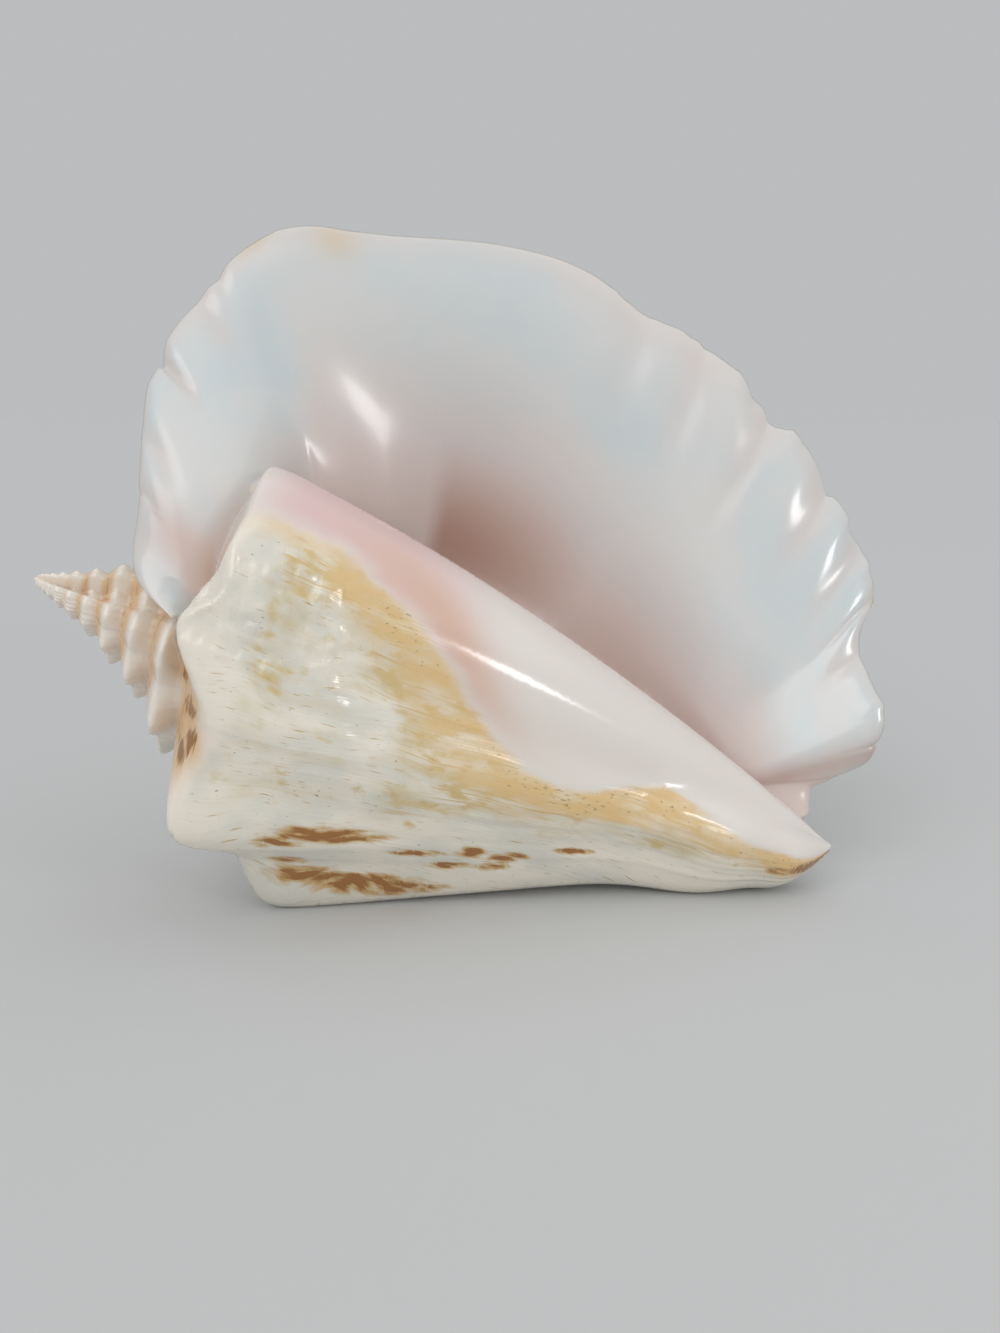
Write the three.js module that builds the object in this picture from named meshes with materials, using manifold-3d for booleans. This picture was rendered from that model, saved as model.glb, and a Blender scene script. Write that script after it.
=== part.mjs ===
// A large conch shell lying with its aperture and flared lip towards -Y and its apex towards -X.
// Millimetres, +Z up. The origin is the middle of the shell's box, on the surface that it rests on.
//
// The shell is drawn round its coiling axis, which drops from the apex to the siphonal tip:
//   along  distance from the apex down the axis
//   up     square to the axis, towards the lip
//   out    square to both, towards -Y
//   turn   angle round the axis in degrees: 0 up, 90 out, 180 down, 270 back
// The shell grew with rising turn, so the whorl before a place is found at turn - 360.

import * as THREE from 'three';
import { ParametricGeometry } from 'three/addons/geometries/ParametricGeometry.js';
import { mergeVertices } from 'three/addons/utils/BufferGeometryUtils.js';
import Module from 'manifold-3d';

// Pose and overall size
const LENGTH = 230;                                   // apex to siphonal tip, along the axis
const AXIS_TILT = 19.04;                              // degrees that the axis drops
const APEX = new THREE.Vector3(-115.746, -13.73, 87.7);

// Spire: knob tips lie at radius SPIRE_FLARE * (exp(along / SPIRE_PITCH) - 1)
const WHORL_GROWTH = 1.55;                            // gain in radius with each whorl
const SPIRE_END = { turn: 150, radius: 52 };          // where the spire runs into the last whorl
const SPIRE_FLARE = 16;
const SPIRE_PITCH = 40.5;
const SPIRE_WHORLS = 10;
const SPIRE_KNOB = 0.1;                               // knob height, as a share of the radius
const SPIRE_KNOB_STEP = 40;                           // degrees between knobs
const SPIRE_KNOB_TURN = 170;                          // turn of one of the knobs
const SPIRE_WALL = 0.42;                              // plain wall below the knobs, share of a whorl's span
const SPIRE_WALL_SPAN = 13;                           // longest span that the wall scales with
const SUTURE_DEPTH = 0.035;                           // groove between whorls, share of the radius
const APEX_SWELL = 1.3;                               // blunt early whorls

// Last whorl: shoulder's place along the axis and its radius, every 30 degrees from LAST_START
const LAST_START = -45;
const LAST_END = 315;
const LAST_WHORL = [
  [49.5, 40], [51.3, 46.5], [52.3, 50.5], [53.3, 48], [47, 41], [60.5, 42.5], [59, 44],
  [86, 51.5], [94, 55], [96, 58], [97, 61], [96, 62], [94, 62],
];
// Blunt knobs on its shoulder, which run on towards the tip as fading folds
const SHOULDER_KNOBS = [
  { turn: 138, height: 13, width: 12.5 },
  { turn: 167, height: 13.8, width: 11 },
  { turn: 206, height: 11, width: 14 },
  { turn: 252, height: 14, width: 17 },
];
const FOLD_LENGTH = 45;                               // length over which a fold fades
const BODY_TAPER = 1.5;                               // how full the body is above the tip
const FASCIOLE = { along: 203, height: 8, width: 22 };  // bulge under the siphonal end
const BEAK = { along: 223, height: 6.5, width: 10 };
const TIP_ROUND = 214;                                // the tip is rounded off from here

// Aperture: the hollow between the columella and the lip
const APERTURE = { from: 296, wall: 316, floor: 322, rise: 338, edge: 371 };

// Lip: rim (along, up, out), then the root on the body (along, turn)
const LIP = [
  [44.5, 8.7, 30, 45, 430], [31, 15, 22, 45.5, 420], [24.5, 30.6, 12, 46, 407],
  [19, 42.7, 4, 46.5, 392], [14, 56.4, -6, 47.5, 375], [13, 69.5, -15, 49, 356],
  [16, 83, -23, 52, 337], [22, 99, -31, 57, 319], [36, 112.7, -37, 66, 304],
  [60, 119, -41, 80, 294], [86, 125, -43, 99, 289], [110, 127, -43, 118, 288],
  [133, 122, -42, 136, 288], [155, 117.5, -40, 152, 288], [176, 107, -37, 167, 288],
  [193, 98, -34, 180, 288], [209, 84, -29, 190, 288], [220.5, 70, -24, 196, 288],
  [220.4, 54.9, -17, 199, 288], [231.5, 39.4, -6, 201, 289], [232.9, 28.2, -5, 203, 290],
  [228.9, 21.4, -8.5, 205.5, 291], [221.5, 14.1, -10, 212, 292], [221.7, 4.9, -6, 220.5, 294],
];
const ROOT_DEPTH = 4;                                 // how far the lip is sunk into the body
const LIP_THICKNESS = { root: 6.5, rim: 3.5 };
const LIP_FOLD = 6.5;                                 // thicker fold left of the throat
const RIM_WAVE = { right: 1.5, left: 1.3 };           // scalloped stretches of the rim

// Fineness of the faceted surfaces
const BODY_ROWS = 56;
const BODY_SIDES = 60;
const LIP_ROWS = 70;
const LIP_STEPS = 8;

const { clamp, degToRad, lerp, smoothstep, euclideanModulo } = THREE.MathUtils;
const bump = (x, middle, width) => Math.exp(-(((x - middle) / width) ** 2));
const fall = (x, from, to) => 1 - smoothstep(x, from, to);

// Reads rows that are evenly spaced over x = 0 to 1, by a cubic through them or one that fairs them.
function readRows(rows, x, fair = false) {
  const last = rows.length - 1;
  const place = clamp(x, 0, 1) * last;
  const i = Math.min(Math.floor(place), last - 1);
  const f = place - i;
  return rows[i].map((b, column) => {
    const c = rows[i + 1][column];
    const a = i > 0 ? rows[i - 1][column] : 2 * b - c;
    const d = i < last - 1 ? rows[i + 2][column] : 2 * c - b;
    if (fair) {
      const g = 1 - f;
      const near = 3 * f ** 3 - 6 * f ** 2 + 4;
      const next = -3 * f ** 3 + 3 * f ** 2 + 3 * f + 1;
      return (a * g ** 3 + b * near + c * next + d * f ** 3) / 6;
    }
    const bend = 2 * a - 5 * b + 4 * c - d;
    return 0.5 * (2 * b + (c - a) * f + bend * f ** 2 + (3 * b - a - 3 * c + d) * f ** 3);
  });
}

// Spire and body whorl

function spireRadius(turn) {
  return SPIRE_END.radius * WHORL_GROWTH ** ((turn - SPIRE_END.turn) / 360);
}

// The shoulder's place along the axis and its radius without knobs.
function shoulderAt(turn) {
  const tip = spireRadius(turn);
  const spireAlong = SPIRE_PITCH * Math.log(1 + tip / SPIRE_FLARE);
  const [along, radius] = readRows(LAST_WHORL, (turn - LAST_START) / (LAST_END - LAST_START));
  const blend = smoothstep(turn, -110, LAST_START);
  return [lerp(spireAlong, along, blend), lerp((1 - SPIRE_KNOB) * tip, radius, blend)];
}

function knobHeight(turn) {
  const train = 0.5 + 0.5 * Math.cos(degToRad(360 * (turn - SPIRE_KNOB_TURN) / SPIRE_KNOB_STEP));
  const worn = (1 - 0.8 * smoothstep(turn, -70, -20)) * fall(turn, 60, 100);
  const small = SPIRE_KNOB * spireRadius(turn) * train * worn;
  return SHOULDER_KNOBS.reduce((sum, k) => sum + k.height * bump(turn, k.turn, k.width), small);
}

// Below the shoulder: a full cone down to the tip, with the knobs' folds and the siphonal bulge.
function bodyWhorl(along, turn, shoulder, radius) {
  const x = clamp((along - shoulder) / (LENGTH - shoulder), 0, 1);
  const fold = knobHeight(turn) * Math.exp(-Math.max(along - shoulder, 0) / FOLD_LENGTH) * (1 - x);
  const under = smoothstep(turn, 45, 130) * fall(turn, 215, 290);
  const bulge = FASCIOLE.height * bump(along, FASCIOLE.along, FASCIOLE.width)
    + BEAK.height * bump(along, BEAK.along, BEAK.width);
  const round = clamp((along - TIP_ROUND) / (LENGTH - TIP_ROUND), 0, 1);
  return (radius * (1 - x ** BODY_TAPER) + fold + bulge * under) * Math.sqrt(1 - round ** 2);
}

// Above the shoulder: the wall of the whorl before, the suture's groove, then a ramp up to the knobs.
function whorlRamp(along, turn, [lower, lowerRadius], [upper, upperRadius]) {
  const span = upper - lower;
  const x = (along - lower) / span;
  const wall = SPIRE_WALL * Math.min(span, SPIRE_WALL_SPAN) / span;
  const rise = clamp((x - wall) / (1 - wall), 0, 1);
  const groove = SUTURE_DEPTH * upperRadius * bump(x, wall, 0.5 * wall);
  return lerp(lowerRadius, upperRadius, rise) - groove
    + knobHeight(turn) * smoothstep(x, 0.4, 1)
    + knobHeight(turn - 360) * fall(x / wall, 0, 1);
}

function whorlRadius(along, turn) {
  let newer = shoulderAt(turn);
  const softness = 1.5 + 4.5 * smoothstep(turn, 130, 190);
  const rounding = 0.55 * softness * Math.exp(-Math.abs(along - newer[0]) / softness);
  const swell = APEX_SWELL * smoothstep(along, 0, 2) * fall(along, 12, 40);
  if (along >= newer[0]) return bodyWhorl(along, turn, ...newer) - rounding + swell;
  for (let whorl = 0; whorl < SPIRE_WHORLS; whorl += 1) {
    const older = shoulderAt(turn - 360 * (whorl + 1));
    if (along >= older[0]) {
      return whorlRamp(along, turn - 360 * whorl, older, newer) - rounding + swell;
    }
    newer = older;
  }
  return 0.42 * along + swell;
}

// The radius of the closed body. Past APERTURE.from the wall of the whorl before shows instead,
// hollowed further to make the throat.
function bodyRadius(along, anyTurn) {
  const turn = euclideanModulo(anyTurn, 360);
  let radius;
  if (turn < APERTURE.from) {
    radius = whorlRadius(along, turn);
  } else {
    const outside = whorlRadius(along, Math.min(turn, 300));
    const inside = whorlRadius(along, Math.max(turn - 360, -64));
    radius = lerp(outside, inside, smoothstep(turn, APERTURE.from, APERTURE.wall));
  }
  const hollowTurn = turn < 180 ? turn + 360 : turn;
  const depth = 0.62 * smoothstep(along, 56, 92) * fall(along, 150, 226)
    + 0.25 * smoothstep(along, 100, 150) * fall(along, 205, 228);
  const across = smoothstep(hollowTurn, 300, APERTURE.floor)
    * fall(hollowTurn, APERTURE.rise, APERTURE.edge);
  return Math.max(radius * (1 - depth * across), 0);
}

function polar(along, turn, radius) {
  const angle = degToRad(turn);
  return new THREE.Vector3(along, radius * Math.cos(angle), radius * Math.sin(angle));
}

// Lip

const LIP_ROOTS = LIP.map(([, , , along, turn]) => {
  const radius = bodyRadius(along, turn);
  return polar(along, turn, radius - Math.min(ROOT_DEPTH, 0.35 * radius)).toArray();
});

// The outside of the lip: station runs along the rim (0 to 1), reach from the root (0) to the rim (1).
function lipOutside(station, reach) {
  const [rimAlong, rimUp, rimOut, , rootTurn] = readRows(LIP, station, true);
  const fairRim = new THREE.Vector3(rimAlong, rimUp, rimOut);
  const rim = new THREE.Vector3(...readRows(LIP, station).slice(0, 3));
  const root = new THREE.Vector3(...readRows(LIP_ROOTS, station, true));
  const radial = polar(0, rootTurn, 1);
  const tangent = polar(0, rootTurn + 90, 1);
  const span = fairRim.clone().sub(root);
  const distance = span.length();

  const onBody = smoothstep(station, 0.16, 0.46);
  const straight = smoothstep(station, 0.6, 0.84);
  const towardRim = span.normalize();
  const overSpire = radial.clone().multiplyScalar(0.95).add(new THREE.Vector3(-0.2, 0, 0));
  const leave = tangent.addScaledVector(radial, 0.35).lerp(overSpire, 1 - onBody).normalize();
  const arrive = towardRim.clone().addScaledVector(new THREE.Vector3(0, 0, -0.28), onBody)
    .addScaledVector(new THREE.Vector3(-0.15, 0, 0), 1 - onBody).normalize();

  const section = new THREE.CubicBezierCurve3(
    root,
    root.clone().addScaledVector(leave.lerp(towardRim, straight), distance * 0.33),
    fairRim.clone().addScaledVector(arrive.lerp(towardRim, straight), -distance * 0.33),
    fairRim,
  );
  return section.getPoint(reach).addScaledVector(rim.sub(fairRim), reach ** 4);
}

function lipNormal(station, reach) {
  const step = 0.004;
  const across = lipOutside(Math.min(station + step, 1), reach)
    .sub(lipOutside(Math.max(station - step, 0), reach));
  const outward = lipOutside(station, Math.min(reach + step, 1))
    .sub(lipOutside(station, Math.max(reach - step, 0)));
  return across.cross(outward).normalize();
}

function lipThickness(station, reach) {
  const ends = Math.min(0.25 + 0.75 * smoothstep(station, 0, 0.06), 0.5 + 0.5 * fall(station, 0.8, 1));
  const plain = lerp(LIP_THICKNESS.root, LIP_THICKNESS.rim, reach) * Math.sqrt(1 - reach ** 8) * ends;
  const fold = LIP_FOLD * smoothstep(station, 0.22, 0.36) * fall(station, 0.385, 0.45);
  return plain + fold * bump(reach, 0.25, 0.25);
}

function rimWave(station, reach) {
  const right = smoothstep(station, 0.54, 0.64) * fall(station, 0.8, 0.88);
  const left = smoothstep(station, 0.08, 0.13) * fall(station, 0.25, 0.33);
  const uneven = 0.6 * Math.sin(17 * station);
  const wave = RIM_WAVE.right * right * Math.sin(2 * Math.PI * 23 * station + uneven)
    + RIM_WAVE.left * left * Math.sin(2 * Math.PI * 27 * station);
  return wave * reach ** 5;
}

function lipPoint(station, reach, inside) {
  const offset = rimWave(station, reach) + (inside ? lipThickness(station, reach) : 0);
  return lipOutside(station, reach).addScaledVector(lipNormal(station, reach), offset);
}

// Surfaces in the frame of the part

const axisAlong = new THREE.Vector3(1, 0, 0).applyAxisAngle(new THREE.Vector3(0, 1, 0), degToRad(AXIS_TILT));
const axisUp = new THREE.Vector3(0, 0, 1).applyAxisAngle(new THREE.Vector3(0, 1, 0), degToRad(AXIS_TILT));
const axisOut = new THREE.Vector3(0, -1, 0);

function intoFrame(point, target) {
  target.copy(APEX)
    .addScaledVector(axisAlong, point.x)
    .addScaledVector(axisUp, point.y)
    .addScaledVector(axisOut, point.z);
}

function bodySurface(u, v, target) {
  const along = LENGTH * v ** 1.35;
  const turn = u === 1 ? 0 : 360 * u;
  const pole = v === 0 || v === 1;
  intoFrame(polar(along, turn, pole ? 0 : bodyRadius(along, turn)), target);
}

const LIP_RING = 2 * LIP_STEPS + 1;

function lipSurface(u, v, target) {
  const slot = Math.round(u * LIP_RING) % LIP_RING;
  const inside = slot > LIP_STEPS;
  const step = inside ? 2 * LIP_STEPS - slot : slot;
  const reach = 1 - (1 - step / LIP_STEPS) ** 1.4;
  const end = v === 0 || v === 1;
  intoFrame(lipPoint(v, end ? 0.5 : reach, inside && !end), target);
}

// Booleans

const wasm = await Module();
wasm.setup();

function toSolid(geometry) {
  geometry.deleteAttribute('normal');
  geometry.deleteAttribute('uv');
  const merged = mergeVertices(geometry, 1e-4);
  const corners = merged.index.array;
  const triangles = [];
  for (let i = 0; i < corners.length; i += 3) {
    const [a, b, c] = corners.subarray(i, i + 3);
    if (a !== b && b !== c && c !== a) triangles.push(a, b, c);
  }
  return new wasm.Manifold(new wasm.Mesh({
    numProp: 3,
    vertProperties: Float32Array.from(merged.attributes.position.array),
    triVerts: Uint32Array.from(triangles),
  }));
}

function toGeometry(solid) {
  const mesh = solid.getMesh();
  const geometry = new THREE.BufferGeometry();
  geometry.setAttribute('position', new THREE.BufferAttribute(mesh.vertProperties, 3));
  geometry.setIndex(new THREE.BufferAttribute(mesh.triVerts, 1));
  geometry.computeVertexNormals();
  return geometry;
}

// The body and the lip are one growth. The knobs that it lies on are worn flat at z = 0.
const body = toSolid(new ParametricGeometry(bodySurface, BODY_SIDES, BODY_ROWS));
const lip = toSolid(new ParametricGeometry(lipSurface, LIP_RING, LIP_ROWS));
const ground = toSolid(new THREE.BoxGeometry(2 * LENGTH, 2 * LENGTH, 40).translate(0, 0, -20));

const shell = new THREE.Mesh(
  toGeometry(body.add(lip).subtract(ground)),
  new THREE.MeshStandardMaterial({ color: 0xe6d9cd, roughness: 0.25, metalness: 0 }),
);
shell.name = 'shell';

const group = new THREE.Group();
group.add(shell);

export default group;
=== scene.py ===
"""A large conch shell lying on its knobs, with its flared lip and aperture towards -Y.

The shell is drawn round its coiling axis, which drops from the apex to the siphonal tip:
  along  millimetres from the apex down the axis
  up     square to the axis, towards the lip
  out    square to both, towards -Y
  turn   degrees round the axis: 0 up, 90 out, 180 down, 270 back
The shell grew with rising turn, so the whorl before a place is found at turn - 360.

On the lip, station runs along the rim (0 to 1) and reach from the root (0) to the rim (1).
"""
import math

import bpy
import numpy as np
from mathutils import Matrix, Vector
from mathutils.kdtree import KDTree


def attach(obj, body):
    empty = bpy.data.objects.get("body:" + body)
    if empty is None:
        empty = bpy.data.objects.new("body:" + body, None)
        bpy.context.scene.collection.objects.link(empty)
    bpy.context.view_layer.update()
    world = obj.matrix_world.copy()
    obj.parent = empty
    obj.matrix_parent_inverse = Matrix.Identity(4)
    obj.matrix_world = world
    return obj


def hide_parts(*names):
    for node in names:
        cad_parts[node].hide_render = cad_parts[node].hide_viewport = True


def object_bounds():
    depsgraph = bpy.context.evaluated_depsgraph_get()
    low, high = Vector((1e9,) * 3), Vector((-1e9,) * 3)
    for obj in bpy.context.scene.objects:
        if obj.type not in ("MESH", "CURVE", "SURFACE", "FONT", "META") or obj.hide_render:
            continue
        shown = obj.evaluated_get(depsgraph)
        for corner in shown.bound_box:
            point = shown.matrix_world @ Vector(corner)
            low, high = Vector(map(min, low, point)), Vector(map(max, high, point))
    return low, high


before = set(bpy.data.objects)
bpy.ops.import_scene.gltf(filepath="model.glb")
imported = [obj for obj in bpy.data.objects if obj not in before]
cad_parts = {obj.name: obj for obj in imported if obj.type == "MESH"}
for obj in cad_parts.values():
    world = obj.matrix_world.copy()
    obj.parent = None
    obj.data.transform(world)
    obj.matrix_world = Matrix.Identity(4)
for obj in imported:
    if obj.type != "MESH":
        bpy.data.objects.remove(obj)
cad_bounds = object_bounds()

MM = 0.001

# Pose and overall size, in millimetres and degrees
LENGTH = 230.0
AXIS_TILT = math.radians(19.04)
APEX = np.array([cad_bounds[0].x / MM, -13.73, 87.7])
AXIS_ALONG = np.array([math.cos(AXIS_TILT), 0.0, -math.sin(AXIS_TILT)])
AXIS_UP = np.array([math.sin(AXIS_TILT), 0.0, math.cos(AXIS_TILT)])
AXIS_OUT = np.array([0.0, -1.0, 0.0])

# Spire
WHORL_GROWTH = 1.55
SPIRE_END_TURN, SPIRE_END_RADIUS = 150.0, 52.0
SPIRE_FLARE, SPIRE_PITCH = 16.0, 40.5
SPIRE_WHORLS = 10
SPIRE_KNOB, SPIRE_KNOB_STEP, SPIRE_KNOB_TURN = 0.1, 40.0, 170.0
SPIRE_KNOB_UNEVEN = 0.4
SPIRE_WALL, SPIRE_WALL_SPAN, SUTURE_DEPTH = 0.42, 13.0, 0.035
APEX_SLOPE, APEX_SWELL = 0.42, 1.3
# Share that the knobs lose towards the last whorl, and the turns where they lose it and where they end
SPIRE_KNOBS_LOSE, SPIRE_KNOBS_LOWER, SPIRE_KNOBS_END = 0.8, (-70, -20), (60, 100)

# Last whorl: shoulder's place along the axis and its radius, every 30 degrees
SPIRE_FADE, LAST_START, LAST_END = -110.0, -45.0, 315.0
LAST_WHORL = [
    (49.5, 40), (51.3, 46.5), (52.3, 50.5), (53.3, 48), (47, 41), (60.5, 42.5), (59, 44),
    (86, 51.5), (94, 55), (96, 58), (97, 61), (96, 62), (94, 62),
]
# Knobs of the shoulder: turn, height in millimetres, half width in degrees
SHOULDER_KNOBS = [(138, 13, 12.5), (167, 13.8, 11), (206, 11, 14), (252, 14, 17)]
SHOULDER_EDGE_FRONT, SHOULDER_EDGE_BACK, SHOULDER_ROUNDING = 1.5, 6.0, 0.55
FOLD_LENGTH = 45.0
BODY_TAPER = 1.5
FASCIOLE_ALONG, FASCIOLE_HEIGHT, FASCIOLE_WIDTH = 203.0, 8.0, 22.0
BEAK_ALONG, BEAK_HEIGHT, BEAK_WIDTH = 223.0, 6.5, 10.0
BULGE_TURNS = (45, 130, 215, 290)
TIP_ROUND = 214.0

# The mouth: turns where the last whorl gives way to the one before it, whose first turn that shows is
# INSIDE_START, and the hollow of the throat as shares of the radius with their stretches along the axis
OUTSIDE_END, MOUTH_START, MOUTH_END = 300.0, 296.0, 316.0
INSIDE_START = -64.0
THROAT_TURNS = (300, 322, 338, 371)
THROAT_HOLLOWS = [(0.62, (56, 92, 150, 226)), (0.25, (100, 150, 205, 228))]

# Lip: rim (along, up, out), then its root on the body (along, turn)
LIP = [
    (44.5, 8.7, 30, 45, 430), (31, 15, 22, 45.5, 420), (24.5, 30.6, 12, 46, 407),
    (19, 42.7, 4, 46.5, 392), (14, 56.4, -6, 47.5, 375), (13, 69.5, -15, 49, 356),
    (16, 83, -23, 52, 337), (22, 99, -31, 57, 319), (36, 112.7, -37, 66, 304),
    (60, 119, -41, 80, 294), (86, 125, -43, 99, 289), (110, 127, -43, 118, 288),
    (133, 122, -42, 136, 288), (155, 117.5, -40, 152, 288), (176, 107, -37, 167, 288),
    (193, 98, -34, 180, 288), (209, 84, -29, 190, 288), (220.5, 70, -24, 196, 288),
    (220.4, 54.9, -17, 199, 288), (231.5, 39.4, -6, 201, 289), (232.9, 28.2, -5, 203, 290),
    (228.9, 21.4, -8.5, 205.5, 291), (221.5, 14.1, -10, 212, 292), (221.7, 4.9, -6, 220.5, 294),
]
ROOT_DEPTH, ROOT_SHARE = 4.0, 0.35
LIP_ROOT_THICKNESS, LIP_RIM_THICKNESS = 6.5, 3.5
LIP_WING_SHARE, LIP_NOTCH_SHARE = 0.25, 0.5
LIP_FOLD, LIP_FOLD_STATIONS = 6.5, (0.22, 0.36, 0.385, 0.45)

# The lip's sections: share of their span that each end's direction holds for, and how the directions lean
# at the wing over the spire and at the flare over the body (along, up, out). The wing goes over into the
# flare and the flare into straight sections between these stations.
SECTION_HOLD = 0.33
WING_RISE, WING_LEAVE, WING_ARRIVE = 0.95, np.array([-0.2, 0, 0]), np.array([-0.15, 0, 0])
FLARE_RISE, FLARE_ARRIVE = 0.35, np.array([0, 0, -0.28])
FLARE_STATIONS, STRAIGHT_STATIONS = (0.16, 0.46), (0.6, 0.84)

# How far the rim stands out from its smooth line, in millimetres, with its notches (station, shift)
RIM_EDGE = [
    (0, 0), (0.053, 0.7), (0.09, 0.4), (0.095, -0.4), (0.101, 0.5), (0.129, -0.1), (0.147, -0.4),
    (0.178, 0.6), (0.197, -0.9), (0.204, -2.7), (0.211, -0.6), (0.219, 0.4), (0.24, 0.2), (0.26, -0.3),
    (0.272, 0.1), (0.282, -1.2), (0.291, 0.3), (0.307, 0.4), (0.329, 0.6), (0.343, -0.2), (0.367, -1.5),
    (0.393, -0.8), (0.439, 0.3), (0.471, 0.4), (0.505, 0.4), (0.508, -0.1), (0.521, -0.7), (0.545, 0.3),
    (0.558, 0.5), (0.562, -0.1), (0.587, 2), (0.594, 0.8), (0.597, -0.4), (0.609, 0.3), (0.613, -1.7),
    (0.619, -1.5), (0.63, 1.5), (0.657, 1), (0.668, -0.6), (0.672, -1.9), (0.676, -0.2), (0.682, 0.6),
    (0.692, 1.1), (0.697, -0.6), (0.705, 0.3), (0.715, 0.4), (0.724, 0.9), (0.728, 0.1), (0.748, 1),
    (0.767, 2.2), (0.78, 0.2), (0.79, -1.1), (0.812, -0.6), (0.82, 0), (0.832, -0.6), (0.853, -1.2),
    (0.857, -1.7), (0.862, -0.9), (0.892, 0.8), (0.917, -0.4), (0.946, -0.1), (1, 0),
]
# Fine serrations of the rim: height in millimetres, number along the whole rim, and their stations
SERRATION, SERRATIONS, SERRATED_STATIONS = 0.3, 190, (0.45, 0.55, 0.86, 0.9)
# Valleys of the soft folds that run in from the rim: station, half width, depth in millimetres
LIP_VALLEYS = [
    (0.066, 0.012, 0.7), (0.098, 0.01, 0.7), (0.142, 0.012, 1.0), (0.205, 0.007, 1.6), (0.262, 0.012, 0.8),
    (0.522, 0.014, 0.7), (0.562, 0.012, 0.9), (0.61, 0.011, 1.2), (0.667, 0.012, 1.4), (0.71, 0.01, 1.4),
    (0.752, 0.009, 1.1), (0.788, 0.009, 1.2),
]

# Edge of the shoulder beside the lip's root, with a recess above it (turn, along)
SHOULDER_RIDGE = [
    (30, 49), (36, 50.5), (45, 52.5), (49, 53.4), (55, 55.1), (59, 55.4), (62.6, 54.8), (66, 52.4),
    (68.6, 49.9), (74, 47), (79, 44.2),
]
RIDGE_TURNS = (28, 42, 68, 78)
RIDGE_HEIGHT, RECESS_DEPTH = 0.7, 5.0
# A slanting growth swell below it, its slant in millimetres per degree
SWELL_HEIGHT, SWELL_SLANT, SWELL_TURNS = 0.7, 0.41, (54, 64, 98, 108)
FLAKE_DEPTH = 0.25
FASCIOLE_GLAZE, FASCIOLE_GLAZE_SPAN = 2.6, (170, 183, 200, 226)

# Where the lip runs into the body: width that is eased at the back, in millimetres, with its passes, and
# the narrower width at the front with its share of the easing
SEAM_WIDTH, SEAM_PASSES = 9.0, 12
FRONT_SEAM_WIDTH, FRONT_SEAM_SHARE = 2.5, 0.5

# Fineness of the two surfaces, and how their points crowd at the spire, the front and the rim
BODY_ROWS, BODY_SIDES = 270, 210
SPIRE_CROWDING, FRONT_CROWDING, FRONT_SHARE = 1.35, 17.0, 0.78
LIP_ROWS, LIP_STEPS, RIM_CROWDING = 420, 32, 1.4


def smooth(start, end, x):
    """Eases from 0 at start to 1 at end."""
    share = np.clip((x - start) / (end - start), 0, 1)
    return share * share * (3 - 2 * share)


def fall(start, end, x):
    """Eases from 1 at start to 0 at end."""
    return 1 - smooth(start, end, x)


def plateau(x, start, full, fade, end):
    """Eases from 0 at start to 1 at full, and from 1 at fade to 0 at end."""
    return smooth(start, full, x) * fall(fade, end, x)


def bump(x, middle, width):
    return np.exp(-((x - middle) / width) ** 2)


def lerp(a, b, share):
    return a + (b - a) * share


def over(table, x):
    """Reads a table of (place, value) rows by straight lines between them."""
    return np.interp(x, *zip(*table))


def noise(x, y, period=4096, seed=0):
    """A smooth random field from -1 to 1 with a hump per unit, which repeats in x after period.

    The value at each corner is a common hash of its column, row and seed.
    """
    column, row = np.floor(x), np.floor(y)
    share_x, share_y = smooth(0, 1, x - column), smooth(0, 1, y - row)

    def corner(right, down):
        place = np.mod(column + right, period) * 127.1 + (row + down) * 311.7 + seed * 74.7
        value = np.sin(place) * 43758.5
        return 2 * (value - np.floor(value)) - 1

    near = lerp(corner(0, 0), corner(1, 0), share_x)
    far = lerp(corner(0, 1), corner(1, 1), share_x)
    return lerp(near, far, share_y)


def body_noise(along, turn, length, degrees, seed):
    """Noise over the body with humps of a length in millimetres and a width in degrees."""
    return noise(turn / degrees, along / length, 360 / degrees, seed)


def read_rows(rows, x, fair=False):
    """Reads evenly spaced rows over x = 0 to 1, by a cubic through them or one that fairs them."""
    rows = np.asarray(rows, float)
    last = len(rows) - 1
    place = np.clip(x, 0, 1) * last
    i = np.minimum(np.floor(place).astype(int), last - 1)
    f = (place - i)[..., None]
    b, c = rows[i], rows[i + 1]
    a = np.where((i > 0)[..., None], rows[np.maximum(i - 1, 0)], 2 * b - c)
    d = np.where((i < last - 1)[..., None], rows[np.minimum(i + 2, last)], 2 * c - b)
    if fair:
        near = 3 * f ** 3 - 6 * f ** 2 + 4
        far = -3 * f ** 3 + 3 * f ** 2 + 3 * f + 1
        return (a * (1 - f) ** 3 + b * near + c * far + d * f ** 3) / 6
    bend = 2 * a - 5 * b + 4 * c - d
    return 0.5 * (2 * b + (c - a) * f + bend * f ** 2 + (3 * b - a - 3 * c + d) * f ** 3)


def from_front(turn):
    """The same turn counted from -90 to 270, so that the front of the shell is in one stretch."""
    return np.mod(turn + 90, 360) - 90


def past_mouth(turn):
    """The same turn counted from 180 to 540, so that the mouth and the throat are in one stretch."""
    return np.where(turn < 180, turn + 360, turn)


# Whorls

def spire_radius(turn):
    return SPIRE_END_RADIUS * WHORL_GROWTH ** ((turn - SPIRE_END_TURN) / 360)


def shoulder_at(turn):
    """The shoulder's place along the axis and its radius without knobs."""
    tip = spire_radius(turn)
    last = read_rows(LAST_WHORL, (turn - LAST_START) / (LAST_END - LAST_START))
    blend = smooth(SPIRE_FADE, LAST_START, turn)
    along = lerp(SPIRE_PITCH * np.log(1 + tip / SPIRE_FLARE), last[..., 0], blend)
    return along, lerp((1 - SPIRE_KNOB) * tip, last[..., 1], blend)


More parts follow.
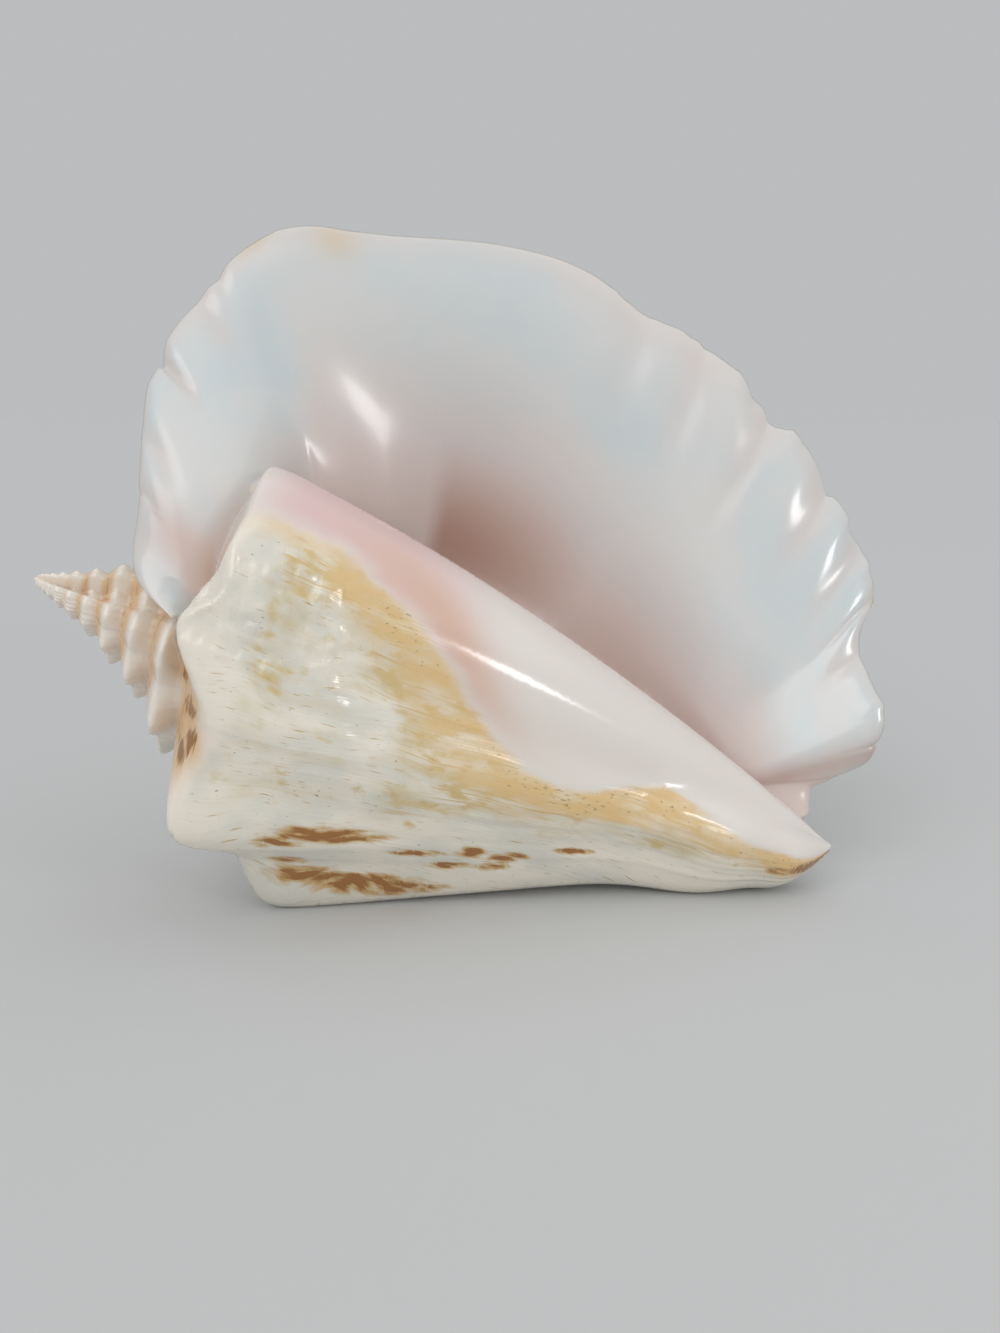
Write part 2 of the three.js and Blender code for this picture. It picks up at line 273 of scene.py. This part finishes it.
def knob_height(turn):
    train = 0.5 + 0.5 * np.cos(2 * np.pi * (turn - SPIRE_KNOB_TURN) / SPIRE_KNOB_STEP)
    uneven = 1 + SPIRE_KNOB_UNEVEN * noise(turn / SPIRE_KNOB_STEP, 0 * turn, seed=5)
    worn = (1 - SPIRE_KNOBS_LOSE * smooth(*SPIRE_KNOBS_LOWER, turn)) * fall(*SPIRE_KNOBS_END, turn)
    large = sum(height * bump(turn, knob_turn, width) for knob_turn, height, width in SHOULDER_KNOBS)
    return SPIRE_KNOB * spire_radius(turn) * train * uneven * worn + large


def whorl_radius(along, turn):
    shoulder, radius = shoulder_at(turn)
    x = np.clip((along - shoulder) / (LENGTH - shoulder), 0, 1)
    fold = knob_height(turn) * np.exp(-np.maximum(along - shoulder, 0) / FOLD_LENGTH) * (1 - x)
    bulge = (FASCIOLE_HEIGHT * bump(along, FASCIOLE_ALONG, FASCIOLE_WIDTH)
             + BEAK_HEIGHT * bump(along, BEAK_ALONG, BEAK_WIDTH)) * plateau(turn, *BULGE_TURNS)
    tip = np.clip((along - TIP_ROUND) / (LENGTH - TIP_ROUND), 0, 1)
    result = (radius * (1 - x ** BODY_TAPER) + fold + bulge) * np.sqrt(1 - tip ** 2)

    placed = along >= shoulder
    newer, newer_radius = shoulder, radius
    for whorl in range(SPIRE_WHORLS):
        here = turn - 360 * whorl
        older, older_radius = shoulder_at(here - 360)
        span = np.maximum(newer - older, 1e-6)
        x = (along - older) / span
        wall = SPIRE_WALL * np.minimum(span, SPIRE_WALL_SPAN) / span
        ramp = (lerp(older_radius, newer_radius, np.clip((x - wall) / (1 - wall), 0, 1))
                + knob_height(here) * smooth(0.4, 1, x) + knob_height(here - 360) * fall(0, 1, x / wall)
                - SUTURE_DEPTH * newer_radius * bump(x, wall, 0.5 * wall))
        on_ramp = ~placed & (along >= older)
        result = np.where(on_ramp, ramp, result)
        placed |= on_ramp
        newer, newer_radius = older, older_radius
    result = np.where(placed, result, APEX_SLOPE * along)
    softness = lerp(SHOULDER_EDGE_FRONT, SHOULDER_EDGE_BACK, smooth(130, 190, turn))
    rounding = SHOULDER_ROUNDING * softness * np.exp(-np.abs(along - shoulder) / softness)
    return result - rounding + APEX_SWELL * plateau(along, 0, 2, 12, 40)


def ramp_share(along, turn):
    """Where a place lies on its whorl's ramp, 0 at the suture and 1 from the shoulder on.

    The ramp's length is given as well.
    """
    newer, _ = shoulder_at(turn)
    share = np.ones_like(along)
    length = newer - shoulder_at(turn - 360)[0]
    placed = along >= newer
    for whorl in range(SPIRE_WHORLS):
        older, _ = shoulder_at(turn - 360 * (whorl + 1))
        on_ramp = ~placed & (along >= older)
        share = np.where(on_ramp, (along - older) / np.maximum(newer - older, 1e-6), share)
        length = np.where(on_ramp, newer - older, length)
        placed |= on_ramp
        newer = older
    return share, length


def body_radius(along, any_turn):
    """The closed body: past the mouth's start the whorl before shows, hollowed to make the throat."""
    turn = np.mod(any_turn, 360)
    late = turn >= MOUTH_START
    outside = whorl_radius(along, np.minimum(turn, OUTSIDE_END))
    inside = whorl_radius(along, np.where(late, np.maximum(turn - 360, INSIDE_START), turn))
    radius = np.where(late, lerp(outside, inside, smooth(MOUTH_START, MOUTH_END, turn)), inside)
    depth = sum(share * plateau(along, *stretch) for share, stretch in THROAT_HOLLOWS)
    return np.maximum(radius * (1 - depth * plateau(past_mouth(turn), *THROAT_TURNS)), 0)


def polar(along, turn, radius):
    angle = np.radians(turn)
    return np.stack([along + 0 * radius, radius * np.cos(angle), radius * np.sin(angle)], -1)


# Lip

def lip_roots():
    """The points on the body that the lip grows from, sunk a little into it."""
    along, turn = np.array(LIP, float).T[3:]
    radius = body_radius(along, turn)
    return polar(along, turn, radius - np.minimum(ROOT_DEPTH, ROOT_SHARE * radius))


LIP_ROOTS = lip_roots()


def unit(vectors):
    return vectors / np.maximum(np.linalg.norm(vectors, axis=-1, keepdims=True), 1e-9)


def lip_outside(station, reach):
    """The lip's outside: each section is a cubic curve from the root to the faired rim."""
    faired = read_rows(LIP, station, True)
    fair_rim, root_turn = faired[..., :3], faired[..., 4]
    rim = read_rows(LIP, station)[..., :3]
    root = read_rows(LIP_ROOTS, station, True)
    radial = polar(0 * root_turn, root_turn, np.ones_like(root_turn))
    tangent = polar(0 * root_turn, root_turn + 90, np.ones_like(root_turn))
    span = fair_rim - root
    hold = SECTION_HOLD * np.linalg.norm(span, axis=-1, keepdims=True)
    flare = smooth(*FLARE_STATIONS, station)[..., None]
    straight = smooth(*STRAIGHT_STATIONS, station)[..., None]
    toward_rim = unit(span)
    leave = unit(lerp(WING_RISE * radial + WING_LEAVE, tangent + FLARE_RISE * radial, flare))
    arrive = unit(toward_rim + lerp(WING_ARRIVE, FLARE_ARRIVE, flare))
    first = root + lerp(leave, toward_rim, straight) * hold
    second = fair_rim - lerp(arrive, toward_rim, straight) * hold
    w = reach[..., None]
    section = (root * (1 - w) ** 3 + 3 * first * w * (1 - w) ** 2
               + 3 * second * w * w * (1 - w) + fair_rim * w ** 3)
    return section + (rim - fair_rim) * w ** 4


def lip_normal(station, reach, step=0.004):
    after, before = np.minimum(station + step, 1), np.maximum(station - step, 0)
    farther, nearer = np.minimum(reach + step, 1), np.maximum(reach - step, 0)
    across = lip_outside(after, reach) - lip_outside(before, reach)
    outward = lip_outside(station, farther) - lip_outside(station, nearer)
    return unit(np.cross(across, outward))


def lip_thickness(station, reach):
    wing = lerp(LIP_WING_SHARE, 1, smooth(0, 0.06, station))
    notch = lerp(LIP_NOTCH_SHARE, 1, fall(0.8, 1, station))
    rounded_rim = np.sqrt(np.maximum(1 - reach ** 8, 0))
    plain = lerp(LIP_ROOT_THICKNESS, LIP_RIM_THICKNESS, reach) * rounded_rim * np.minimum(wing, notch)
    return plain + LIP_FOLD * plateau(station, *LIP_FOLD_STATIONS) * bump(reach, 0.25, 0.25)


def lip_valleys(station):
    return sum(depth * bump(station, valley, width) for valley, width, depth in LIP_VALLEYS)


# Colour and wear over the shell, and painted shade in the throat and the lip's hollows, as strengths from 0
# to 1

# Edge of the pink glaze that the mantle laid on the body, and of the amber stain below it (along, turn)
GLAZE_EDGE = [
    (48, 34), (64, 33), (75, 34), (86, 38), (95, 42), (104, 48), (111, 55), (120, 66), (130, 79),
    (140, 89), (149, 94), (160, 91), (170, 80), (176, 72), (181, 76), (186, 83), (193, 88), (204, 98),
    (214, 104), (230, 112),
]
AMBER_EDGE = [
    (48, 36), (60, 43), (70, 46), (82, 52), (95, 62), (105, 72), (115, 88), (126, 101), (141, 111),
    (162, 110), (183, 108), (201, 115), (220, 126), (230, 130),
]
# How strong the amber is (along, strength)
AMBER_DEPTH = [
    (48, 0.3), (62, 0.6), (80, 0.75), (95, 1), (112, 0.85), (130, 0.9), (150, 1), (185, 0.9), (230, 1),
]
# Flaked patches where the brown skin is left: along, turn, half length, half width in degrees
SKIN_PATCHES = [
    (97, 136, 17, 4), (85, 139, 8, 2.4), (119, 143, 9, 2.4), (133, 142, 5, 4.2), (143, 145, 6, 4),
    (159, 140, 7, 2.6), (94, 156, 12, 3.6), (108, 158, 16, 4), (120, 161, 13, 3), (88, 150, 6, 2.6),
    (128, 150, 7, 2.6), (140, 151, 6, 2.4), (216, 127, 6, 8), (223, 122, 6, 9),
    (112, 204, 16, 5), (130, 215, 12, 4), (150, 228, 11, 4), (118, 246, 14, 5), (160, 262, 10, 4),
]
# Brown streaks in the last whorl's suture and under the siphonal tip, in the same order
BROWN_STREAKS = [
    (50.5, 96, 2.5, 8), (54.5, 106, 3.5, 8), (58, 115, 3.5, 7), (55.5, 122, 3, 5),
    (223, 123, 9, 14), (229, 116, 3, 30),
]
# Where the lip stands on the body, between its outside and its inside (along, turn)
LIP_SEAM = [
    (60, 306), (84, 302.5), (100, 300.5), (125, 299.7), (150, 300.2), (185, 302.3), (200, 304.3), (215, 307),
]
# How far the beige flush of the aperture spreads over the lip (station, reach)
LIP_FLUSH = [
    (0, 0.3), (0.05, 0.5), (0.09, 0.85), (0.13, 0.5), (0.2, 0.25), (0.29, 0.42), (0.34, 0.68),
    (0.45, 0.7), (0.5, 0.64), (0.54, 0.56), (0.6, 0.48), (0.65, 0.42), (0.73, 0.38), (0.8, 0.38),
    (0.87, 0.55), (0.91, 1.1), (1, 1.1),
]
# Yellow stains on the rim: station and reach, each with its half width
RIM_STAINS = [(0.361, 0.012, 0.96, 0.05), (0.313, 0.012, 1, 0.03), (0.748, 0.01, 1, 0.03)]
RIM_STAIN_STRENGTH = 0.55
BACK_WEAR = 0.7
# Sizes that the patterns are laid out on: the lip's length and width, and the body's radius at the shoulder
# and near the tip
LIP_LENGTH, LIP_WIDTH = 470.0, 95.0
SHOULDER_GIRTH, TIP_GIRTH = 50, 13


def patches(table, along, turn):
    return np.max([bump(along, middle, length) * bump(turn, at, width)
                   for middle, at, length, width in table], axis=0)


def body_marks(along, turn):
    """How strongly each finish lies on the body, with painted shade deep in the throat, and the place on its
    growth lines in millimetres.
    """
    front, past = from_front(turn), past_mouth(turn)
    coil = np.where(front < INSIDE_START, turn, front)
    share, ramp_length = ramp_share(along, coil)
    spire = fall(-3, 5, along - shoulder_at(coil)[0]) * fall(18, 32, ramp_length)
    seam = over(LIP_SEAM, along)
    hollow = smooth(60, 90, along) * fall(350, 370, past)

    edge, amber_edge = over(GLAZE_EDGE, along), over(AMBER_EDGE, along)
    wander = 2 * body_noise(along, turn, 9, 8, 3) + 1.2 * body_noise(along, turn, 3.5, 3, 4)
    within = np.where(front < 0, smooth(seam - 1, seam + 1, turn), 1)
    glaze = fall(edge - 6, edge + 4, front + wander) * within * smooth(48, 54, along)
    pink = (np.maximum(fall(88, 130, along), 0.3 * fall(5, 35, front))
            * smooth(48, 66, along) * smooth(-30, 0, front))
    faded = amber_edge + lerp(4, 20, smooth(70, 115, along))
    amber = (smooth(edge - 10, edge + 2, front + wander) * over(AMBER_DEPTH, along)
             * fall(lerp(edge, amber_edge, 0.5), faded, front + 2 * wander))

    uneven = smooth(-0.4, 0.4, body_noise(along, turn, 14, 12, 23))
    worn = lerp(0.75, 1, uneven) * smooth(54, 68, along)
    wear = lerp(worn * fall(120, 150, turn), BACK_WEAR, smooth(170, 200, turn))
    waved = np.mod(turn + 42, 360) - 42 + 3 * body_noise(along, turn, 13, 18, 31)
    girth = lerp(SHOULDER_GIRTH, TIP_GIRTH, smooth(90, 235, along))
    return {
        "glaze": glaze,
        "callus": glaze,
        "pink": glaze * pink,
        "blush": glaze * bump(front, edge - 9, 13) * bump(along, 106, 26),
        "flush": smooth(seam - 1, seam + 1, past) * hollow,
        # Deeper brown-pink deep in the throat, partly painted shade of the hollow
        "throat": smooth(308, 325, past) * hollow,
        "amber": amber,
        "skin": patches(SKIN_PATCHES, along, turn),
        "suture": patches(BROWN_STREAKS, along, turn),
        "bare": 1 - np.maximum(glaze, spire),
        "wear": (1 - glaze) * (1 - spire) * wear,
        "spire": spire,
        "band": spire * plateau(share, 0.25, 0.5, 0.7, 0.95) * smooth(6, 16, along),
        "stain": 0 * along,
        "growth": np.stack([along, np.radians(waved - 90) * girth, 0 * along], -1),
        "lip": 0 * along,
    }


def lip_marks(station, reach, inside):
    """The same for the lip, which is glazed inside and bare outside; inside, painted shade lies in the
    throat, under the lobe, along the slit and in the fold valleys.
    """
    spread = over(LIP_FLUSH, station)
    # Painted shade: the valleys of the folds near the rim take the beige flush colour.
    folds = 0.35 * lip_valleys(station) * plateau(reach, 0.55, 0.85, 0.93, 1)
    flush = fall(spread - 0.4, spread + 0.12, reach) + folds + 0.35 * smooth(0.9, 1, reach)
    # The throat's deeper pink, with painted shade of the hollow that runs in behind the fold
    throat = plateau(station, 0.418, 0.438, 0.44, 0.58) * plateau(reach, -0.1, 0.25, 0.2, 0.52)
    # Painted shade on the glaze: under the lobe, at the lower end of the wing and along the slit by the
    # columella
    shaded = (0.6 * bump(station, 0.87, 0.022) * smooth(0.1, 0.35, reach)
              + 0.38 * bump(station, 0.085, 0.035) * bump(reach, 0.6, 0.3)
              + 0.3 * plateau(station, 0.5, 0.6, 0.8, 0.86) * fall(0.15, 0.55, reach))
    outside = 1.0 - inside
    zero = 0 * station
    return dict.fromkeys(("callus", "pink", "blush", "suture", "spire", "band"), zero) | {
        "glaze": 1.0 * inside,
        "flush": np.clip(flush, 0, 1) * inside,
        # The throat colour carries both the throat's pink and the painted shade
        "throat": np.maximum(throat, shaded) * inside,
        "amber": 0.5 * outside * smooth(0.75, 0.95, station),
        "skin": 0.55 * outside * noise(station * 23, reach * 7) ** 2,
        "bare": outside,
        "wear": BACK_WEAR * outside,
        "stain": RIM_STAIN_STRENGTH * sum(bump(station, at, length) * bump(reach, out, width)
                                          for at, length, out, width in RIM_STAINS),
        "growth": np.stack([LIP_LENGTH * station, LIP_WIDTH * reach, zero], -1),
        "lip": zero + 1,
    }


# Fine relief, in millimetres

def body_relief(along, turn, marks):
    """Growth lines, dents and flakes of the worn outer layer, which the glaze covers."""
    front = from_front(turn)
    ridge = over(SHOULDER_RIDGE, front)
    recess = ((RIDGE_HEIGHT * bump(along, ridge + 1, 1.2) - RECESS_DEPTH * smooth(0.3, 4, ridge - along))
              * plateau(front, *RIDGE_TURNS))
    lines = 0.16 * body_noise(along, turn, 45, 4, 1) + 0.08 * body_noise(along, turn, 25, 2, 2)
    dents = np.abs(body_noise(along, turn, 6, 8, 7)) + np.abs(body_noise(along, turn, 3.2, 4, 8))
    grit = 0.3 * body_noise(along, turn, 1.8, 2, 9)
    hammered = (dents + grit) * bump(along, 72, 20) * bump(front, 64, 22)
    swell = (SWELL_HEIGHT * bump(along - SWELL_SLANT * (front - 64), 80, 2.4)
             * plateau(front, *SWELL_TURNS))
    flaked = FLAKE_DEPTH * smooth(0.35, 0.6, marks["skin"])
    fasciole = FASCIOLE_GLAZE * plateau(along, *FASCIOLE_GLAZE_SPAN) * bump(front, 90, 19)
    return (1 - marks["glaze"]) * (lines + hammered + swell) - flaked + recess + fasciole


def lip_relief(station, reach):
    """The folds that run in from the rim."""
    return -lip_valleys(station) * smooth(0.5, 1, reach) ** 1.3


# Shaping the mesh

def into_frame(points):
    """Sets points out in the frame, kept within the shell's box and worn flat where it lies on its knobs."""
    world = APEX + points[:, :1] * AXIS_ALONG + points[:, 1:2] * AXIS_UP + points[:, 2:] * AXIS_OUT
    return np.clip(world * MM, *cad_bounds)


def shape_ball(name, rows, sides, surface):
    """Adds a ball and moves each of its rings of points onto a surface of the shell."""
    bpy.ops.object.select_all(action="DESELECT")
    bpy.ops.mesh.primitive_uv_sphere_add(segments=sides, ring_count=rows, radius=1)
    ball = bpy.context.object
    ball.name = name
    points = np.array([v.co for v in ball.data.vertices])
    row = np.rint(np.arccos(np.clip(points[:, 2], -1, 1)) / np.pi * rows)
    slot = np.mod(np.rint(np.arctan2(points[:, 1], points[:, 0]) / (2 * np.pi) * sides), sides)
    placed, marks = surface(row, slot)
    ball.data.vertices.foreach_set("co", into_frame(placed).ravel())
    for mark, values in marks.items():
        kind, field = ("FLOAT_VECTOR", "vector") if values.ndim == 2 else ("FLOAT", "value")
        attribute = ball.data.attributes.new(mark, kind, "POINT")
        attribute.data.foreach_set(field, values.astype(np.float32).ravel())
    bpy.ops.object.mode_set(mode="EDIT")
    bpy.ops.mesh.select_all(action="SELECT")
    bpy.ops.mesh.normals_make_consistent(inside=False)
    bpy.ops.object.mode_set(mode="OBJECT")
    return ball


def body_surface(row, slot):
    along = LENGTH * (row / BODY_ROWS) ** SPIRE_CROWDING
    share = slot / BODY_SIDES
    turn = np.mod(360 * share + FRONT_CROWDING * np.sin(2 * np.pi * (share - FRONT_SHARE)), 360)
    radius = body_radius(along, turn)
    marks = body_marks(along, turn)
    radius = np.maximum(radius + body_relief(along, turn, marks) * smooth(0, 6, radius), 0)
    radius[(row == 0) | (row == BODY_ROWS)] = 0
    return polar(along, turn, radius), marks


def lip_surface(row, slot):
    station = row / LIP_ROWS
    inside = slot > LIP_STEPS
    step = np.where(inside, 2 * LIP_STEPS - slot, slot)
    end = (row == 0) | (row == LIP_ROWS)
    reach = np.where(end, 0.5, 1 - (1 - step / LIP_STEPS) ** RIM_CROWDING)
    offset = np.where(inside & ~end, lip_thickness(station, reach), 0) + lip_relief(station, reach) * ~end
    one = np.ones_like(station)
    outward = unit(lip_outside(station, one) - lip_outside(station, 0.95 * one))
    serrated = (SERRATION * noise(station * SERRATIONS, 0 * station, seed=19)
                * plateau(station, *SERRATED_STATIONS))
    shift = (over(RIM_EDGE, station) + serrated) * smooth(0.55, 1, reach) * ~end
    relief = lip_normal(station, reach) * offset[:, None] + outward * shift[:, None]
    return lip_outside(station, reach) + relief, lip_marks(station, reach, inside)


def read_mark(mesh, name):
    values = np.empty(len(mesh.vertices))
    mesh.attributes[name].data.foreach_get("value", values)
    return values


def point_finder(points, chosen):
    """A search tree over the chosen ones of the points."""
    tree = KDTree(len(chosen))
    for index in chosen:
        tree.insert(points[index], int(index))
    tree.balance()
    return tree


def mark_joint(mesh, points):
    """Gives the new points of the joint the marks of the nearest point that has any."""
    marked = sum(read_mark(mesh, name) for name in ("bare", "glaze", "spire")) >= 0.5
    finder = point_finder(points, np.flatnonzero(marked))
    nearest = {int(index): finder.find(points[index])[1] for index in np.flatnonzero(~marked)}
    for attribute in mesh.attributes:
        if attribute.domain == "POINT" and attribute.name != "position":
            field = "vector" if attribute.data_type == "FLOAT_VECTOR" else "value"
            for index, source in nearest.items():
                setattr(attribute.data[index], field, getattr(attribute.data[source], field))


def ease_seam(shell, points):
    """Smooths the line where the lip meets the body, widely at the back and little at the front."""
    on_lip = read_mark(shell.data, "lip")
    ends = np.empty(len(shell.data.edges) * 2, int)
    shell.data.edges.foreach_get("vertices", ends)
    ends = ends.reshape(-1, 2)
    seam = np.unique(ends[np.abs(on_lip[ends[:, 0]] - on_lip[ends[:, 1]]) > 0.5])
    finder = point_finder(points, seam)
    nearest = [finder.find(point) for point in points]
    away = np.array([found[2] for found in nearest]) / MM
    behind = smooth(0, 15, np.array([found[0].y for found in nearest]) / MM)
    front = FRONT_SEAM_SHARE * fall(0.2 * FRONT_SEAM_WIDTH, FRONT_SEAM_WIDTH, away)
    back = fall(0.3 * SEAM_WIDTH, SEAM_WIDTH, away)
    eased = shell.vertex_groups.new(name="seam")
    for index, weight in enumerate(lerp(front, back, behind)):
        if weight > 0:
            eased.add([index], weight, "REPLACE")
    ease = shell.modifiers.new("ease", "SMOOTH")
    ease.factor, ease.iterations, ease.vertex_group = 0.5, SEAM_PASSES, "seam"
    bpy.ops.object.modifier_apply(modifier="ease")


def join_shell(body, lip):
    """The lip and the body are one growth: joins them and eases the line where they meet."""
    bpy.ops.object.select_all(action="DESELECT")
    bpy.context.view_layer.objects.active = body
    body.select_set(True)
    join = body.modifiers.new("join", "BOOLEAN")
    join.operation, join.solver, join.object = "UNION", "MANIFOLD", lip
    bpy.ops.object.modifier_apply(modifier="join")
    bpy.data.objects.remove(lip)
    body.name = "conch_shell"
    points = np.empty(len(body.data.vertices) * 3)
    body.data.vertices.foreach_get("co", points)
    points = points.reshape(-1, 3)
    mark_joint(body.data, points)
    ease_seam(body, points)
    bpy.ops.object.shade_smooth()
    return body


def srgb(code):
    """Turns a hex colour into the linear one that the shader takes."""
    parts = [int(code[i:i + 2], 16) / 255 for i in (1, 3, 5)]
    return [p / 12.92 if p <= 0.04045 else ((p + 0.055) / 1.055) ** 2.4 for p in parts] + [1.0]


def add(tree, kind, inputs=None, **settings):
    """Adds a node, with its settings and with each input set or linked."""
    made = tree.nodes.new(kind)
    for name, value in settings.items():
        setattr(made, name, value)
    for socket, value in (inputs or {}).items():
        if isinstance(value, bpy.types.NodeSocket):
            tree.links.new(value, made.inputs[socket])
        else:
            made.inputs[socket].default_value = value
    return made


# Grains of the shell's patterns, in millimetres along the growth lines and across them
GRAINS = {
    "cloud": (26, 15), "wash": (13, 6), "blot": (7, 5), "line": (26, 1.0), "dash": (7, 0.8),
    "cord": (0.9, 9), "flake": (6, 1.9), "speck": (1.8, 1.0), "sheen": (60, 40),
}
# Colours from the bottom up: where each lies, and the grain that breaks it up between two strengths
CHALK = "#F1EADB"
COATS = [
    ("#E2DFD3", "bare", "cloud", 0.42, 0.62),
    ("#D6C396", "wear", "wash", 0.3, 0.8),
    ("#D8BF86", "wear", "blot", 0.44, 0.64),
    ("#D9BD88", "wear", "line", 0.52, 0.64),
    ("#C9A86C", "bare", "dash", 0.62, 0.74),
    ("#A9A084", "bare", "speck", 0.68, 0.73),
    ("#F4EBE0", "spire", None, 0, 0),
    ("#E2C19B", "band", None, 0, 0),
    ("#C99B6C", "band", "cord", 0.45, 0.7),
    ("#E5C389", "amber", "wash", 0.0, 0.66),
    ("#D0AC72", "skin", "flake", 0.16, 0.36),
    ("#A26B31", "skin", "flake", 0.32, 0.43),
    ("#DDB47C", "suture", None, 0, 0),
    ("#9C6A30", "suture", "cord", 0.3, 0.44),
    ("#B59F74", "amber", "speck", 0.58, 0.63),
    ("#DEDDDA", "glaze", None, 0, 0),
    ("#D1DADC", "glaze", "sheen", 0.36, 0.68),
    ("#EAE3DB", "callus", None, 0, 0),
    # Beige flush of the aperture, with painted shade in the valleys of the lip's folds
    ("#DAC9C2", "flush", None, 0, 0),
    ("#E4C4C2", "pink", None, 0, 0),
    ("#DFBBA8", "blush", None, 0, 0),
    # Deeper pink of the throat, and painted shade in its hollow, under the lobe, at the wing's lower end and
    # along the slit
    ("#B59182", "throat", None, 0, 0),
    ("#DCC49C", "stain", None, 0, 0),
]


def glazed_aragonite():
    """Polished shell lime: a chalky, stained outer layer, and a smooth pink-white glaze in the aperture,
    with painted shade in the throat and the lip's hollows.

    The glaze mirrors the lamp in small bright glints, the flushed middle of the lip more softly, and light
    goes a little way into the shell, which takes the hardness out of its shadows.
    """
    material = bpy.data.materials.new("glazed_aragonite")
    material.use_nodes = True
    tree = material.node_tree
    shader = tree.nodes["Principled BSDF"]
    mark = {name: add(tree, "ShaderNodeAttribute", attribute_name=name).outputs["Fac"]
            for name in sorted({coat[1] for coat in COATS})}
    growth = add(tree, "ShaderNodeAttribute", attribute_name="growth").outputs["Vector"]
    grain = {}
    for name, (length, across) in GRAINS.items():
        per_grain = (1 / length, 1 / across, 1 / across)
        scaled = add(tree, "ShaderNodeMapping", {"Vector": growth, "Scale": per_grain})
        speckle = add(tree, "ShaderNodeTexNoise", {"Vector": scaled.outputs[0], "Scale": 1.0, "Detail": 4.0})
        grain[name] = speckle.outputs[0]

    colour = srgb(CHALK)
    for shade, place, texture, low, high in COATS:
        strength = mark[place]
        if texture:
            broken = add(tree, "ShaderNodeMath", {0: strength, 1: grain[texture]}, operation="MULTIPLY")
            strength = add(tree, "ShaderNodeMapRange", {0: broken.outputs[0], 1: low, 2: high},
                           interpolation_type="SMOOTHSTEP").outputs[0]
        coat = add(tree, "ShaderNodeMix", {0: strength, 6: colour, 7: srgb(shade)}, data_type="RGBA")
        colour = coat.outputs[2]
    tree.links.new(colour, shader.inputs["Base Color"])

    for socket, plain, flushed in (("Roughness", 0.18, 0.26), ("Coat Weight", 0.35, 0.12)):
        finish = add(tree, "ShaderNodeMapRange", {0: mark["flush"], 3: plain, 4: flushed})
        tree.links.new(finish.outputs[0], shader.inputs[socket])
    lines = add(tree, "ShaderNodeMath", {0: mark["bare"], 1: grain["line"]}, operation="MULTIPLY")
    ridges = add(tree, "ShaderNodeBump", {"Height": lines.outputs[0], "Strength": 0.4, "Distance": 0.3 * MM})
    tree.links.new(ridges.outputs[0], shader.inputs["Normal"])
    for socket, value in {
        "IOR": 1.6,
        "Coat Roughness": 0.09,
        "Subsurface Weight": 0.12,
        "Subsurface Radius": (1.0, 0.6, 0.45),
        "Subsurface Scale": 3 * MM,
    }.items():
        shader.inputs[socket].default_value = value
    return material


def studio():
    """A pale floor, soft lights and the camera."""
    bpy.ops.object.select_all(action="DESELECT")
    bpy.ops.mesh.primitive_plane_add(size=20)
    floor = bpy.context.object
    floor.name = "floor"
    paper = bpy.data.materials.new("pale_paper")
    paper.use_nodes = True
    paper_shader = paper.node_tree.nodes["Principled BSDF"]
    paper_shader.inputs["Base Color"].default_value = srgb("#CCCDCD")
    paper_shader.inputs["Roughness"].default_value = 0.9
    floor.data.materials.append(paper)

    world = bpy.data.worlds.new("pale_room")
    world.use_nodes = True
    room = world.node_tree.nodes["Background"]
    room.inputs["Color"].default_value = srgb("#E4E6E8")
    room.inputs["Strength"].default_value = 0.64
    bpy.context.scene.world = world
    shell_middle = Vector((0, 0, 0.08))
    for name, kind, place, size, power in (
        ("window", "SUN", (-0.4, -0.8, 0.75), math.radians(50), 0.8),
        ("ceiling", "SUN", (0.1, 0.0, 1.0), math.radians(90), 0.5),
        ("lamp", "AREA", (0.73, -0.76, 0.4), 0.2, 1.2),
    ):
        light = bpy.data.objects.new(name, bpy.data.lights.new(name, kind))
        setattr(light.data, "angle" if kind == "SUN" else "size", size)
        light.data.energy = power
        light.location = place
        light.rotation_euler = (shell_middle - Vector(place)).to_track_quat("-Z", "Y").to_euler()
        bpy.context.scene.collection.objects.link(light)

    camera = bpy.data.objects.new("camera", bpy.data.cameras.new("camera"))
    camera.data.lens = 33.76
    camera.data.sensor_width = 36
    camera.location = (0.00875, -0.34473, 0.134)
    camera.rotation_euler = (math.radians(78), 0, 0)
    bpy.context.scene.collection.objects.link(camera)
    bpy.context.scene.camera = camera
    bpy.context.scene.view_settings.view_transform = "Standard"


body = shape_ball("shell_body", BODY_ROWS, BODY_SIDES, body_surface)
lip = shape_ball("shell_lip", LIP_ROWS, 2 * LIP_STEPS + 1, lip_surface)
shell = join_shell(body, lip)
shell.data.materials.clear()
shell.data.materials.append(glazed_aragonite())
studio()

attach(shell, "root")
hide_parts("shell")
